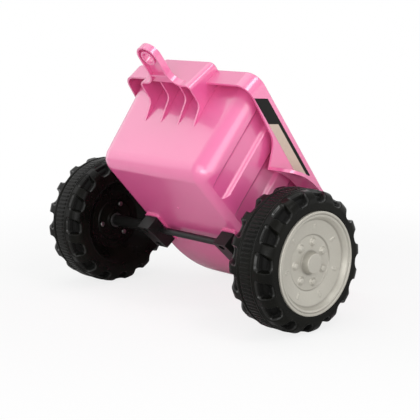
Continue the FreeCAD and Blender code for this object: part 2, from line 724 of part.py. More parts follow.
def tyre_cavity():
    """The hollow inside the tyre, a wall's thickness from every outside face and from the pockets."""
    wall = WHEEL_WALL
    tube_r = BUSH_R + HUB_TUBE_WALL
    seat_r = CAP_R + CAP_FIT
    crown = WHEEL_R - CROWN_DEPTH - wall
    bevel = (SHOULDER_R - POCKET_DEPTH - wall) * math.sqrt(2)
    centre_r = WHEEL_R - SHOULDER_R
    inner_centre = INNER_FACE + SHOULDER_R
    outer_centre = OUTER_FACE - SHOULDER_R
    inner_side = INNER_FACE + wall
    outer_side = OUTER_FACE - wall
    slant = math.hypot(SIDEWALL_INNER_R - WEB_R, INNER_WEB_DEPTH) / (SIDEWALL_INNER_R - WEB_R)
    shift = wall * slant
    points = [(INNER_WEB + wall, tube_r), (INNER_WEB + wall, WEB_R + wall - shift / 3)]
    points += [(inner_side, SIDEWALL_INNER_R + wall / 2)]
    points += [(inner_side, centre_r + bevel - (inner_centre - inner_side))]
    points += [(inner_centre - bevel + (crown - centre_r), crown)]
    points += [(outer_centre + bevel - (crown - centre_r), crown)]
    points += [(outer_side, centre_r + bevel - (outer_side - outer_centre)), (outer_side, seat_r + wall)]
    points += [(CAP_LEDGE - wall, seat_r + wall), (CAP_LEDGE - wall, seat_r - CAP_LEDGE_WIDTH + wall)]
    points += [(OUTER_WEB - wall, seat_r - CAP_LEDGE_WIDTH + wall), (OUTER_WEB - wall, tube_r)]
    return turned(points)


def pocket_tool(outward):
    """Rounded block that presses one pocket into the tyre's shoulder at the wheel's front."""
    size = (POCKET_WIDTH, POCKET_LENGTH, 2 * POCKET_DEPTH)
    block = Part.makeBox(*size, Vector(-size[0] / 2, -size[1] / 2, -size[2] / 2))
    block = block.makeFillet(POCKET_CORNER, block.Edges)
    block.rotate(ORIGIN, Y_AXIS, outward * POCKET_SLANT)
    slant = math.radians(POCKET_SLANT)
    side = WHEEL_WIDTH / 2 - SHOULDER_R + SHOULDER_R * math.sin(slant)
    rise = WHEEL_R - SHOULDER_R + SHOULDER_R * math.cos(slant)
    block.translate(Vector(WHEEL_X + outward * side, 0, rise))
    return block


def screw_ring(make):
    """The same piece made at each of the hub screws' places."""
    return [make(y, z) for y, z in ring_spots(HUB_SCREW_COUNT, HUB_SCREW_RING_R, 7)]


def make_wheel():
    body = Part.Face(tyre_profile()).revolve(ORIGIN, X_AXIS, 360)
    posts = screw_ring(lambda y, z: rod(HUB_SCREW_POST_R, INNER_WEB, OUTER_WEB, y, z))
    hollow = tyre_cavity().cut(posts)
    tools = [hollow]
    for outward in (-1, 1):
        first = pocket_tool(outward)
        for index in range(LUG_COUNT):
            tool = first.copy()
            tool.rotate(ORIGIN, X_AXIS, 360 * (index + 0.5) / LUG_COUNT)
            tools.append(tool)
    tools += screw_ring(lambda y, z: rod(SCREW_HOLE_R, INNER_FACE, OUTER_FACE, y, z))
    vent_y, vent_z = ring_spots(1, (WEB_R + SIDEWALL_INNER_R) / 2, -75)[0]
    tools.append(rod(VENT_R, INNER_FACE, WHEEL_X, vent_y, vent_z))
    return body.cut(tools)


def cap_profile():
    """Section of the hub cap: a bead, a step, a dish, a flat disc and a raised boss, then its back."""
    bead_r = CAP_R - CAP_BEAD_WIDTH
    step_r = bead_r - CAP_STEP_WIDTH / 2
    dish_depth = (CAP_TOP - CAP_DISC) / 2
    shelf = CAP_DISC + dish_depth
    boss = CAP_DISC + CAP_BOSS_HEIGHT
    front = [(boss, 0), (boss, CAP_BOSS_R - CAP_WALL)]
    front += [(boss - 1, CAP_BOSS_R - 1), (CAP_DISC, CAP_BOSS_R + 1)]
    front += [(CAP_DISC, CAP_DISC_R), (CAP_DISC + 1.5, CAP_DISC_R + 1.5)]
    front += [(shelf - 1.5, CAP_DISH_R), (shelf, CAP_DISH_R + 1.5), (shelf, step_r - CAP_STEP_WIDTH / 4)]
    front += [(CAP_TOP - 1, bead_r), (CAP_TOP, bead_r + 1), (CAP_TOP, CAP_R - 1), (CAP_TOP - 1, CAP_R)]
    back = [(CAP_LEDGE, CAP_R), (CAP_LEDGE, CAP_R - CAP_LEDGE_WIDTH)]
    back += [(shelf - CAP_WALL - 1.5, CAP_DISH_R), (CAP_BACK + 1, CAP_DISC_R + CAP_WALL)]
    back += [(CAP_BACK, CAP_DISC_R), (CAP_BACK, CAP_BOSS_R + 1 - CAP_WALL)]
    back += [(boss - CAP_WALL, CAP_BOSS_R - 2 * CAP_WALL / 1.5), (boss - CAP_WALL, 0)]
    return front + back


def make_hub_cap():
    dish = turned(cap_profile())
    pieces = [dish]
    for y, z in ring_spots(STUD_COUNT, STUD_RING_R, 20):
        collar = rod(STUD_COLLAR_R, CAP_DISC - 0.5, CAP_DISC + STUD_HEIGHT / 3, y, z)
        stud = rod(STUD_R, CAP_DISC - 0.5, CAP_DISC + STUD_HEIGHT, y, z)
        crown = [edge for edge in stud.Edges if edge.BoundBox.XMin > CAP_DISC + STUD_HEIGHT - 0.1]
        pieces += [collar, stud.makeFillet(STUD_HEIGHT / 3, crown)]
    pieces += screw_ring(lambda y, z: rod(HUB_SCREW_POST_R, OUTER_WEB, CAP_BACK + 0.5, y, z))
    holes = screw_ring(lambda y, z: rod(SCREW_R, OUTER_WEB - 1, CAP_BACK + HUB_SCREW_BITE, y, z))
    return joined(pieces).cut(holes)


def make_hub_screws():
    length = CAP_BACK + HUB_SCREW_BITE - INNER_WEB
    return Part.makeCompound(screw_ring(lambda y, z: pan_screw(Vector(INNER_WEB, y, z), X_AXIS, length)))


# The whole trailer, tipped back onto its tail

def rest_tilt():
    """Angle that tips the trailer back until the tail's knee meets the floor under the wheels."""
    foot, bend, knee, top = tail_points()
    centre = corner_arc(bend, knee, top, TAIL_KNEE_R)[3]
    reach = math.hypot(centre.y, centre.z)
    lift = math.degrees(math.asin((WHEEL_R - TAIL_KNEE_R) / reach))
    return math.degrees(math.atan2(centre.z, centre.y)) + lift


def make_pieces():
    """Every node by name, in the level frame."""
    block = fluted_block(0, RIM_TOP).common(under_rim(0))
    cavity = fluted_block(WALL, RIM_TOP + PAST)
    pieces = {
        "tub": make_tub(cavity, block),
        "tow_tongue": make_tow_tongue(block),
        "axle_rod": make_axle_rod(),
        "clamp_screws": make_clamp_screws(),
    }
    right = {
        "sticker": make_sticker(),
        "axle_clamp": make_clamp(),
        "axle_spacer": make_spacer(),
        "axle_washer": make_washer(),
        "axle_end_cap": make_end_cap(),
    }
    turning = {
        "wheel": make_wheel(),
        "hub_cap": make_hub_cap(),
        "hub_screws": make_hub_screws(),
        "inner_bush": make_bush(INNER_BOSS, -1),
        "outer_bush": make_bush(OUTER_WEB, 1),
    }
    for name, shape in right.items():
        pieces[name + "_right"] = shape
        pieces[name + "_left"] = mirrored(shape)
    for name, shape in turning.items():
        pieces[name + "_right"] = shape.rotated(ORIGIN, X_AXIS, RIGHT_TURN)
        pieces[name + "_left"] = mirrored(shape).rotated(ORIGIN, X_AXIS, LEFT_TURN)
    return pieces


def stand(pieces):
    """Tips the pieces back and sets them on the floor, with the origin under the middle of their box."""
    turn = Rotation(X_AXIS, -rest_tilt())
    for shape in pieces.values():
        shape.Placement = Placement(Vector(0, 0, WHEEL_R), turn).multiply(shape.Placement)
    box = Part.makeCompound(list(pieces.values())).BoundBox
    for shape in pieces.values():
        shape.translate(Y_AXIS * -box.Center.y)
    return -box.Center.y


def main():
    os.makedirs("parts", exist_ok=True)
    pieces = make_pieces()
    axle_y = stand(pieces)
    for name, shape in pieces.items():
        shape.exportStep("parts/" + name + ".step")
        print(name, len(shape.Solids), shape.isValid(), round(shape.Volume / 1000, 1), "cm3")
    print("tilt", round(rest_tilt(), 2), "axle at y", round(axle_y, 3))


main()
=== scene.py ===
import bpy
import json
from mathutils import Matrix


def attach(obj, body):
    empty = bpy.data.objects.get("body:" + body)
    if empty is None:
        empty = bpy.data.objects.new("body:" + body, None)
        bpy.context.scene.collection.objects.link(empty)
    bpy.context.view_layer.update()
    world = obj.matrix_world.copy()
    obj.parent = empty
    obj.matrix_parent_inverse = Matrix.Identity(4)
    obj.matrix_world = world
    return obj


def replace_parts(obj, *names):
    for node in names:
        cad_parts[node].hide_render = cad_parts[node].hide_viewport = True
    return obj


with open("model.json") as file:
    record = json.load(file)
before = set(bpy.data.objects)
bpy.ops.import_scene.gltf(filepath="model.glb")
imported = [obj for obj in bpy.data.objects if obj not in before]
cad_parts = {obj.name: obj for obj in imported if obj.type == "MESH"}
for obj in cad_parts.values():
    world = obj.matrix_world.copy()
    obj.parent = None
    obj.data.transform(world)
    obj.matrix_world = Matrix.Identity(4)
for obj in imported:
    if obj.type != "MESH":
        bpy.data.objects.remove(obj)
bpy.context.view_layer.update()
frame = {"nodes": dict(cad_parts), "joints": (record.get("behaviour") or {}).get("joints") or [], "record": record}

import json
import math

import bmesh
import bpy
import numpy as np
from mathutils import Matrix, Vector

# A pink toy tipping trailer, tipped back onto the tail of its tub.
# Sizes below are millimetres and degrees, and meshes are metres in the frame of the CAD model.
# A wheel is described by u, measured along the axle from the wheel's middle to its hub cap side,
# by r, measured from the axle, and by the angle round the axle from +Y towards +Z.

MM = 0.001
SIDES = ("left", "right")
NODES = frame["nodes"]
JOINTS = {joint["name"]: joint for joint in frame["joints"]}
WHEEL_CENTRE = {side: np.array(JOINTS["wheel_%s_roll" % side]["pos_m"]) / MM for side in SIDES}
WHEEL_SET = {side: "wheel_%s_set" % side for side in SIDES}
AXLE_Y, AXLE_Z = WHEEL_CENTRE["right"][1:]

# The tow eye's axis is upright on a level trailer, so its lean is the angle of tipping
TOW_EYE = frame["record"]["mounts"][0]
TILT = math.atan2(-TOW_EYE["axis"][1], -TOW_EYE["axis"][2])

# Camera, fitted to the photographed wheels and rim
LENS = 99.7
SENSOR = 36.0
VIEW_AZIMUTH = 46.98
VIEW_PITCH = 10.49
VIEW_ROLL = -0.1
VIEW_DISTANCE = 1680.2
VIEW_RIGHT = 23.0
VIEW_UP = 38.97

# Meshes: merging in metres, the angles up to which a face is flat and an edge soft, and counts
MERGE_DIGITS = 7
MERGE_DISTANCE = 1e-7
FLAT_ANGLE = 0.2
COPY_SHARP = 28.0
EDGE_SEGMENTS = 2
ARC_POINTS = 6

# Tyre: corners of its section as (u, r, radius), the crown's points as (u, r), and the rows of its
# shoulder by their distance from the ring at the edge of the tread band
TREAD_R = 95.0
HALF_WIDTH = 36.5
SHOULDER_R = 15.0
RING_U = 13.5
INNER_SECTION = [(-18, 8, 0), (-18, 14, 1.2), (-16, 15.2, 1.0), (-16, 31, 0.8), (-14.6, 32.6, 0.8),
                 (-14.6, 44, 4), (-36.5, 66, 5), (-36.5, 73, 0)]
INNER_STEP = 7.0
OUTER_SECTION = [(36.5, 73, 0), (36.5, 70.2, 0.8), (30, 70.2, 0), (30, 58.2, 0.5), (20, 58.2, 0),
                 (20, 8, 0), (-18, 8, 0)]
OUTER_STEP = 8.0
CROWN_SECTION = [(-13.5, 94.7), (-13.2, 95.3), (-12.6, 95.7), (-11.8, 95.6), (-10.9, 95.1),
                 (-10.1, 94.5), (-9.8, 93.6), (0, 93.0), (9.8, 93.6), (10.1, 94.5), (10.9, 95.1),
                 (11.8, 95.6), (12.6, 95.7), (13.2, 95.3), (13.5, 94.7)]
SHOULDER_ROWS = np.concatenate([np.linspace(0, 35, 47), [36.5, 38.0]])
TYRE_SHARP = 50.0

# Lugs, and the pocket that lies between each two of them
LUGS = 16
PITCH = 360.0 / LUGS
LUG_TURN = {"right": 2.25, "left": 8.5}
COLUMNS_PER_LUG = 34
COLUMN_MARKS = [0.0, 0.12, 0.37, 0.63, 0.88, 1.0]
POCKET_START = 1.2
POCKET_END = 32.0
POCKET_WIDE = 2.2
POCKET_NARROW = 7.5
POCKET_FAR = 20.3
POCKET_WALL = 4.2
POCKET_CORNER = 7.0
POCKET_DEPTH = 7.6
WALL_LIP = 0.2
WALL_FOOT = 2.0
LEDGE_DEPTH = 3.4
LEDGE_END = 6.5
LEDGE_RAMP = 2.5

# Tread band in the tyre's crown, with the u of its rows from the middle to one edge; a ridge starts
# where the cosine round the band passes the foot and is full a flank above it
BAND_R = 94.4
BAND_DEPTH = 2.0
BAND_HALF = 10.1
BAND_ROWS = [0.0, 4.0, 7.2, 8.2, 9.0, 9.6, BAND_HALF, BAND_HALF]
BAND_SHARP = 60.0
RIDGES = 96
COLUMNS_PER_RIDGE = 10
RIDGE_HEIGHT = 1.0
RIDGE_END = 9.4
RIDGE_FADE = 1.8
RIDGE_FOOT = -0.55
RIDGE_FLANK = 0.9

# Hub cap: corners of its section as (u, r, radius), and the corners where shade is painted darker as (r, width)
CAP_FRONT = [(35.5, 0, 0), (35.5, 13.2, 1.6), (25.5, 15.8, 1.4), (25.5, 36.2, 0.8), (27.2, 37.8, 1.0),
             (30.8, 57.6, 2.0), (37.2, 61.8, 1.2), (37.9, 64.3, 0.8), (37.1, 65.3, 0.5),
             (38.8, 66.6, 0.9), (38.8, 69.5, 1.2), (30.0, 69.5, 0)]
CAP_FRONT_STEP = 0.55
CAP_BACK = [(30.0, 69.5, 0), (30.0, 57.5, 0), (28.1, 57, 0), (24, 39, 0), (23, 36.5, 0), (23, 14, 0),
            (33, 12.2, 0), (33, 0, 0)]
CAP_BACK_STEP = 6.0
CAP_COLUMNS = 480
# Painted shade: darker rings of colour at the corners of the cap's steps
CAP_PAINTED_SHADE = [(16.0, 2.4), (37.2, 1.5), (57.8, 1.8), (65.3, 1.2)]
CAP_SHARP = 40.0
DISC_RADII = (18.0, 36.5)
DISH_RADII = (40.0, 56.0)
NUTS = 7
NUT_PITCH = 360.0 / NUTS
NUT_RING_R = 27.5
NUT_ANGLE = 26.9
NUT_R = 4.6
NUT_HEIGHT = 2.4
COLLAR_R = 6.2
COLLAR_HEIGHT = 1.1
COLLAR_FLANK = 0.9
PAD_RING_R = 47.5
PAD_SHIFT = 6.0
PAD_HALF_LENGTH = 2.2
PAD_R = 2.6
PAD_HEIGHT = 0.9
PAD_FLANK = 1.1

# Sticker, from its front corner under the rim
STICKER_CORNER = (0.0, -171.5, 138.5)
STICKER_HEIGHT = 19.0
STICKER_SLANT = 17.0
BLOCK_LENGTH = 46.0
STRIPE_WIDTH = 5.2

# Mark of the moulding gate under the tub's floor
GATE_PLACE = (1.5, -56.0, 3.3)
GATE_R = 1.7
GATE_HEIGHT = 0.9
GATE_ROWS = 13
GATE_COLUMNS = 48
GATE_SHARP = 35.0

# Finishes: linear colours, in pairs where a surface varies between two, and the tyre's polished lips
# as depths below the shoulder with the width of each edge
PINK_SHADES = (0.700, 0.092, 0.285, 1.0), (0.730, 0.108, 0.310, 1.0)
TYRE_BLOOM = (0.0025, 0.0025, 0.002, 1.0), (0.005, 0.005, 0.0035, 1.0)
# Painted shade: the near-black colour of the tyre's pocket floors
POCKET_PAINTED_SHADE = (0.0015, 0.0015, 0.0012, 1.0)
LIP_TOP, LIP_TOP_EDGE = 0.8, 0.6
LIP_FOOT, LIP_FOOT_EDGE = 3.0, 1.5
LIP_POLISH = 0.45
CLAMP_BLACKS = (0.006, 0.006, 0.006, 1.0), (0.011, 0.011, 0.010, 1.0)
SILVER_SHADES = (0.36, 0.342, 0.297, 1.0), (0.405, 0.387, 0.337, 1.0)
SILVER_FLECK = (0.63, 0.61, 0.55, 1.0)
# Colour of the painted shade in the hub cap's corners
SILVER_PAINTED_SHADE = (0.15, 0.14, 0.12, 1.0)
AXLE_BLACK = (0.008, 0.008, 0.008, 1.0)
AXLE_WORN = (0.04, 0.039, 0.037, 1.0)
ZINC_SHADES = (0.55, 0.55, 0.53, 1.0), (0.72, 0.72, 0.70, 1.0)
BLACKENED_SHADES = (0.13, 0.13, 0.125, 1.0), (0.24, 0.24, 0.23, 1.0)
BUSH_GREYS = (0.020, 0.020, 0.020, 1.0), (0.034, 0.034, 0.033, 1.0)
FILM_GREYS = (0.50, 0.40, 0.33, 1.0), (0.58, 0.47, 0.39, 1.0)
FILM_BLACK = (0.008, 0.008, 0.007, 1.0)
FLOOR_GREY = (0.92, 0.92, 0.92, 1.0)
WHITE = (1.0, 1.0, 1.0, 1.0)

# Stage, in metres: the floor's fade to white by distance, and lamps by name, place, width, height, watts
FLOOR_REACH = 6.0
FLOOR_LINES = 5
FLOOR_DROP = 0.00005
FLOOR_LIFT = 0.8
FLOOR_FADE = (0.3, 0.9)
WORLD_LEVEL = 0.36
LAMP_AIM = (0.0, 0.0, 0.18)
LAMPS = [
    ("left_softbox", (-1.35, -0.65, 0.85), 1.4, 1.7, 6.0),
    ("overhead_softbox", (-0.3, -0.15, 1.9), 1.3, 1.3, 6.0),
    ("right_key", (0.9, -0.08, 1.4), 0.4, 0.4, 3.5),
    ("right_panel", (1.8, -0.35, 0.75), 1.2, 1.2, 8.5),
    ("right_backdrop", (1.5, 1.4, 0.45), 1.2, 1.2, 4.0),
    ("camera_fill", (1.15, -1.25, 0.3), 1.1, 0.6, 7.0),
    ("front_softbox", (0.5, -1.6, 0.7), 1.4, 1.2, 7.0),
]


def smooth(t):
    """Rises from 0 to 1 as t does, with no slope at either end."""
    t = np.clip(t, 0.0, 1.0)
    return t * t * (3.0 - 2.0 * t)


def level_to_row(points):
    """Points of the level trailer, from the middle of its axle, tipped back by the rest angle."""
    x, y, z = np.moveaxis(np.asarray(points, float), -1, 0)
    c, s = math.cos(TILT), math.sin(TILT)
    return np.stack([x, AXLE_Y + y * c + z * s, AXLE_Z - y * s + z * c], axis=-1)


def wheel_to_row(side, u, r, angle):
    """Points at u along the axle, r from it and angle round it, set at that side's wheel."""
    outward = 1.0 if side == "right" else -1.0
    a = np.radians(angle)
    x = WHEEL_CENTRE[side][0] + outward * u
    return np.stack(np.broadcast_arrays(x, AXLE_Y + r * np.cos(a), AXLE_Z + r * np.sin(a)), axis=-1)


def round_turn(columns):
    """Angles of that many columns, evenly round a full turn."""
    return np.arange(columns) * 360.0 / columns


def grid_quads(rows, columns, wrap_rows=False, wrap_columns=False):
    """Four-sided faces between neighbouring points of a grid.

    A wrapped direction joins its last line to its first.
    """
    r = np.arange(rows if wrap_rows else rows - 1)
    c = np.arange(columns if wrap_columns else columns - 1)
    r, c = np.meshgrid(r, c, indexing="ij")
    down, across = (r + 1) % rows, (c + 1) % columns
    corners = [r * columns + c, r * columns + across, down * columns + across, down * columns + c]
    return np.stack(corners, axis=-1).reshape(-1, 4)


def enclosed(points, quads):
    """Six times the volume that the faces enclose, by the sum of corner triple products."""
    a, b, c, d = (points[quads[:, i]] for i in range(4))
    return sum(np.sum(np.einsum("ij,ij->i", a, np.cross(p, q))) for p, q in ((b, c), (c, d)))


def rounded_line(corners, step):
    """Open line through (u, r, radius) corners: straight runs every step, and a curve round each corner.

    The curve is a quadratic one from the point where the corner's arc starts to the point where it ends.
    """
    spots = np.array([corner[:2] for corner in corners], float)
    parts = [spots[:1]]
    for i in range(1, len(corners) - 1):
        before, here, after = spots[i - 1], spots[i], spots[i + 1]
        back, on = before - here, after - here
        back, on = back / np.linalg.norm(back), on / np.linalg.norm(on)
        half = math.acos(np.clip(back @ on, -1, 1)) / 2
        reach = corners[i][2] / math.tan(half)
        share = np.linspace(0, 1, ARC_POINTS if corners[i][2] else 1)[:, None]
        start, end = here + back * reach, here + on * reach
        parts.append((1 - share) ** 2 * start + 2 * share * (1 - share) * here + share ** 2 * end)
    parts.append(spots[-1:])
    line = [parts[0]]
    for part in parts[1:]:
        gap = np.linalg.norm(part[0] - line[-1][-1])
        share = np.linspace(0, 1, max(2, int(gap / step) + 1))[1:-1, None]
        line += [line[-1][-1:] * (1 - share) + part[:1] * share, part]
    return np.concatenate(line)


# Pieces

def finish_piece(name, mesh, body, material, sharp):
    """Smooth shading with edges kept sharp above an angle, then the piece's material and its body."""
    mesh.polygons.foreach_set("use_smooth", np.ones(len(mesh.polygons), bool))
    mesh.set_sharp_from_angle(angle=math.radians(sharp))
    mesh.update()
    piece = bpy.data.objects.new(name, mesh)
    bpy.context.scene.collection.objects.link(piece)
    mesh.materials.append(material)
    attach(piece, body)
    return piece


def add_piece(name, points, quads, body, material, sharp):
    """Mesh object in metres from points in millimetres, doubled points merged and faces outwards."""
    points = points.reshape(-1, 3)
    if enclosed(points, quads) < 0:
        quads = quads[:, ::-1]
    mesh = bpy.data.meshes.new(name)
    mesh.from_pydata((points * MM).tolist(), [], quads.tolist())
    work = bmesh.new()
    work.from_mesh(mesh)
    bmesh.ops.remove_doubles(work, verts=work.verts, dist=MERGE_DISTANCE)
    work.to_mesh(mesh)
    work.free()
    return finish_piece(name, mesh, body, material, sharp)


def moulded_copy(node, body, material, edge):
    """A node's triangles, their shared points merged, flat faces joined and edges rounded by edge."""
    source = NODES[node].data
    spots = np.zeros(len(source.vertices) * 3)
    source.vertices.foreach_get("co", spots)
    corners = np.zeros(len(source.loops), int)
    source.loops.foreach_get("vertex_index", corners)
    rounded = np.round(spots.reshape(-1, 3), MERGE_DIGITS)
    spots, index = np.unique(rounded, axis=0, return_inverse=True)
    triangles = index.reshape(-1)[corners].reshape(-1, 3)
    distinct = np.all(triangles != np.roll(triangles, 1, axis=1), axis=1)
    mesh = bpy.data.meshes.new(node + "_moulded")
    mesh.from_pydata(spots.tolist(), [], triangles[distinct].tolist())
    work = bmesh.new()
    work.from_mesh(mesh)
    flat = math.radians(FLAT_ANGLE)
    bmesh.ops.dissolve_limit(work, angle_limit=flat, verts=work.verts, edges=work.edges)
    work.to_mesh(mesh)
    work.free()
    piece = finish_piece(node + "_moulded", mesh, body, material, COPY_SHARP)
    if edge:
        rounding = piece.modifiers.new("edges", "BEVEL")
        rounding.width = edge * MM
        rounding.segments = EDGE_SEGMENTS
        rounding.limit_method = "ANGLE"
        rounding.angle_limit = math.radians(COPY_SHARP)
        rounding.use_clamp_overlap = True
    weights = piece.modifiers.new("flats", "WEIGHTED_NORMAL")
    weights.keep_sharp = True
    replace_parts(piece, node)
    return piece


# Materials

class Value:
    """A shader socket that takes part in arithmetic; each operator adds one Math node."""

    def __init__(self, nodes, socket):
        self.nodes = nodes
        self.socket = socket

    def apply(self, operation, *others):
        """Result of a Math node's operation on this value and the others."""
        inputs = dict(enumerate((self,) + others))
        made = self.nodes.add("ShaderNodeMath", {"operation": operation}, inputs)
        return Value(self.nodes, made.outputs[0])

    def __add__(self, other):
        return self.apply("ADD", other)

    def __sub__(self, other):
        return self.apply("SUBTRACT", other)

    def __mul__(self, other):
        return self.apply("MULTIPLY", other)

    def __rsub__(self, other):
        made = self.nodes.add("ShaderNodeMath", {"operation": "SUBTRACT"}, {0: other, 1: self})
        return Value(self.nodes, made.outputs[0])

    __radd__ = __add__
    __rmul__ = __mul__

    def above(self, limit, width):
        """0 below the limit and 1 above it, with an edge of the given width."""
        made = self.nodes.add(
            "ShaderNodeMapRange",
            {"interpolation_type": "SMOOTHSTEP"},
            {"Value": self, "From Min": limit - width / 2, "From Max": limit + width / 2},
        )
        return Value(self.nodes, made.outputs["Result"])


class Nodes:
    """A node tree, and the one way in which nodes are added to it."""

    def __init__(self, tree):
        self.tree = tree

    def add(self, kind, settings, inputs):
        """A node of that kind, with its settings, and values or links in its sockets."""
        node = self.tree.nodes.new(kind)
        for key, value in settings.items():
            setattr(node, key, value)
        for key, value in inputs.items():
            self.put(node.inputs[key], value)
        return node

    def put(self, socket, value):
        """A link into the socket where the value is one, and the plain value otherwise."""
        value = value.socket if isinstance(value, Value) else value
        if isinstance(value, bpy.types.NodeSocket):
            self.tree.links.new(value, socket)
        else:
            socket.default_value = value

    def rays(self):
        """Two values: 1 for rays from the camera, and 1 for rays by way of a reflection or a glass."""
        path = self.add("ShaderNodeLightPath", {}, {}).outputs
        mirrored = Value(self, path["Is Glossy Ray"]) + Value(self, path["Is Transmission Ray"])
        return Value(self, path["Is Camera Ray"]), mirrored


class Paint(Nodes):
    """One material's nodes, built round a Principled BSDF and the object's own coordinates."""

    def __init__(self, name, **constants):
        self.material = bpy.data.materials.new(name)
        self.material.use_nodes = True
        super().__init__(self.material.node_tree)
        self.shader = self.tree.nodes["Principled BSDF"]
        self.set(**constants)
        self.place = self.add("ShaderNodeTexCoord", {}, {}).outputs["Object"]

    def set(self, **values):
        """The material, with values or links in the shader's sockets, whose spaces are written as _."""
        for socket, value in values.items():
            self.put(self.shader.inputs[socket.replace("_", " ")], value)
        return self.material

    def along(self, direction, origin):
        """Distance in metres from origin along a direction of the CAD frame."""
        offset = self.add("ShaderNodeVectorMath", {"operation": "SUBTRACT"},
                          {0: self.place, 1: tuple(origin)})
        dot = self.add("ShaderNodeVectorMath", {"operation": "DOT_PRODUCT"},
                       {0: offset.outputs["Vector"], 1: tuple(direction)})
        return Value(self, dot.outputs["Value"])

    def from_axle(self, side):
        """Distance in metres from the axle: the root of the summed squares along Y and Z."""
        centre = WHEEL_CENTRE[side] * MM
        y = self.along((0.0, 1.0, 0.0), centre)
        z = self.along((0.0, 0.0, 1.0), centre)
        return (y * y + z * z).apply("SQRT")

    def noise(self, scale, detail, roughness=0.5):
        """Cloudy value round one half, with about scale patches to a metre."""
        made = self.add(
            "ShaderNodeTexNoise",
            {},
            {"Vector": self.place, "Scale": scale, "Detail": detail, "Roughness": roughness},
        )
        return Value(self, made.outputs["Fac"])

    def mix(self, factor, low, high):
        """Colour that goes evenly from low at a factor of 0 to high at 1."""
        made = self.add("ShaderNodeMix", {"data_type": "RGBA"}, {"Factor": factor, 6: low, 7: high})
        return made.outputs[2]

    def bump(self, height, strength, distance):
        """Fine relief in the shader's normal, by height times a distance in metres."""
        made = self.add("ShaderNodeBump", {}, {"Height": height, "Strength": strength, "Distance": distance})
        self.set(Normal=made.outputs["Normal"])


def pink_moulding():
    """Glossy pink moulded plastic: faint cloudy colour, fine surface grain, and dull scuffed patches."""
    paint = Paint("pink_moulding", IOR=1.95, Coat_Weight=1.0, Coat_Roughness=0.11)
    cloud = paint.noise(scale=9.0, detail=3.0)
    scuff = paint.noise(scale=60.0, detail=4.0, roughness=0.65).above(limit=0.62, width=0.16)
    paint.bump(paint.noise(scale=900.0, detail=1.0), strength=0.06, distance=0.0004)
    return paint.set(
        Base_Color=paint.mix(cloud, *PINK_SHADES),
        Roughness=0.33 + cloud * 0.06 + scuff * 0.05,
    )


def tyre_plastic(side):
    """Black moulded tyre plastic: satin lugs with a dusty bloom, polished lips round the pockets between
    them, and dull floors in the pockets, darkened by painted shade.

    A point's depth below the shoulder is the shoulder's radius less its distance from the ring that the
    shoulder turns round.
    """
    paint = Paint("tyre_plastic_" + side, IOR=1.48, Specular_IOR_Level=0.09, Coat_Roughness=0.14)
    across = paint.along((1.0, 0.0, 0.0), WHEEL_CENTRE[side] * MM).apply("ABSOLUTE")
    over = (across - (HALF_WIDTH - SHOULDER_R) * MM).apply("MAXIMUM", 0.0)
    rise = paint.from_axle(side) - (TREAD_R - SHOULDER_R) * MM
    depth = SHOULDER_R * MM - (over * over + rise * rise).apply("SQRT")
    tread = rise.above(limit=0.0, width=0.001)
    # The deep pocket floors, where shade is painted into the colour and the plastic is duller
    floor = tread * depth.above(limit=POCKET_DEPTH * MM / 2, width=POCKET_DEPTH * MM / 2)
    below_top = depth.above(limit=LIP_TOP * MM, width=LIP_TOP_EDGE * MM)
    below_foot = depth.above(limit=LIP_FOOT * MM, width=LIP_FOOT_EDGE * MM)
    lip = tread * below_top * (1.0 - below_foot)
    cloud = paint.noise(scale=22.0, detail=4.0, roughness=0.6)
    bloom = paint.mix(cloud.above(limit=0.5, width=0.4), *TYRE_BLOOM)
    paint.bump(paint.noise(scale=700.0, detail=2.0), strength=0.10, distance=0.0005)
    return paint.set(
        # The base colour goes to painted shade in the deep pocket floors
        Base_Color=paint.mix(floor, bloom, POCKET_PAINTED_SHADE),
        Roughness=0.22 + cloud * 0.12 + floor * 0.25,
        Coat_Weight=lip * LIP_POLISH,
    )


def clamp_plastic():
    """Black moulded plastic of the axle clamps and spacers, a little paler than the tyres."""
    paint = Paint("clamp_plastic", IOR=1.48, Specular_IOR_Level=0.25)
    cloud = paint.noise(scale=40.0, detail=3.0)
    paint.bump(paint.noise(scale=800.0, detail=1.0), strength=0.08, distance=0.0004)
    return paint.set(Base_Color=paint.mix(cloud, *CLAMP_BLACKS), Roughness=0.30 + cloud * 0.12)


def hub_silver(side):
    """Warm silver-grey moulded plastic with a fine metallic fleck, and shade painted into the corners of its
    steps.

    The painted shade falls off evenly on both sides of each corner's radius.
    """
    paint = Paint("hub_silver_" + side, IOR=1.5)
    radius = paint.from_axle(side)
    strays = [((radius - r * MM) * (1 / (width * MM))).apply("ABSOLUTE") for r, width in CAP_PAINTED_SHADE]
    painted_shade = sum((1.0 - stray).apply("MAXIMUM", 0.0) for stray in strays)
    cloud = paint.noise(scale=30.0, detail=3.0)
    fleck = paint.noise(scale=2400.0, detail=1.0).above(limit=0.6, width=0.15)
    flecked = paint.mix(fleck * 0.35, paint.mix(cloud, *SILVER_SHADES), SILVER_FLECK)
    paint.bump(paint.noise(scale=600.0, detail=2.0), strength=0.05, distance=0.0004)
    return paint.set(
        # The base colour is darkened by painted shade in the corners of the cap's steps
        Base_Color=paint.mix(painted_shade * 0.55, flecked, SILVER_PAINTED_SHADE),
        Roughness=0.36 + cloud * 0.10,
        Metallic=0.25 + fleck * 0.2,
    )


def axle_paint():
    """Black painted steel with worn, slightly shiny streaks."""
    paint = Paint("axle_paint", IOR=1.5, Specular_IOR_Level=0.3)
    wear = paint.noise(scale=120.0, detail=4.0, roughness=0.7).above(limit=0.66, width=0.1)
    return paint.set(Base_Color=paint.mix(wear * 0.5, AXLE_BLACK, AXLE_WORN), Roughness=0.34 - wear * 0.08)


